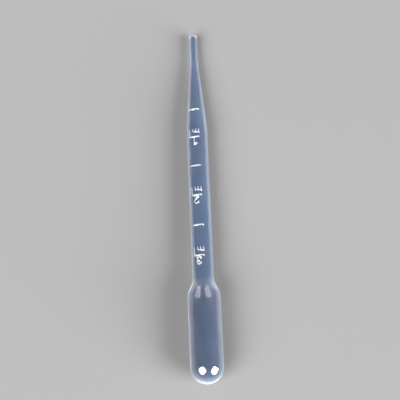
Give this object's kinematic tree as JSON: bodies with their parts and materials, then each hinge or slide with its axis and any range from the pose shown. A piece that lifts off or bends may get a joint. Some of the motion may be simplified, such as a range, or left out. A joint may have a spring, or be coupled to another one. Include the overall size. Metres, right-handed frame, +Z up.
{
  "type": "graduated plastic dropper pipette",
  "caption": "One-piece soft plastic dropper pipette with a squeeze bulb, straight graduated stem and long drawn-out tip, lying at rest.",
  "frame": {"origin": "on the ground, under the middle of the box round the pipette as it lies at rest", "axes": "+Y along the pipette towards its open tip, which points 1.8 degrees down; +Z up; the graduations face up, turned 19 degrees towards -X"},
  "size_m": [0.0132, 0.155, 0.0142],
  "materials": {
    "milky_polyethylene": "natural low-density polyethylene: milky, see-through, with a soft waxy gloss"
  },
  "bodies": {
    "root": {"pipette": "milky_polyethylene"}
  },
  "joints": []
}
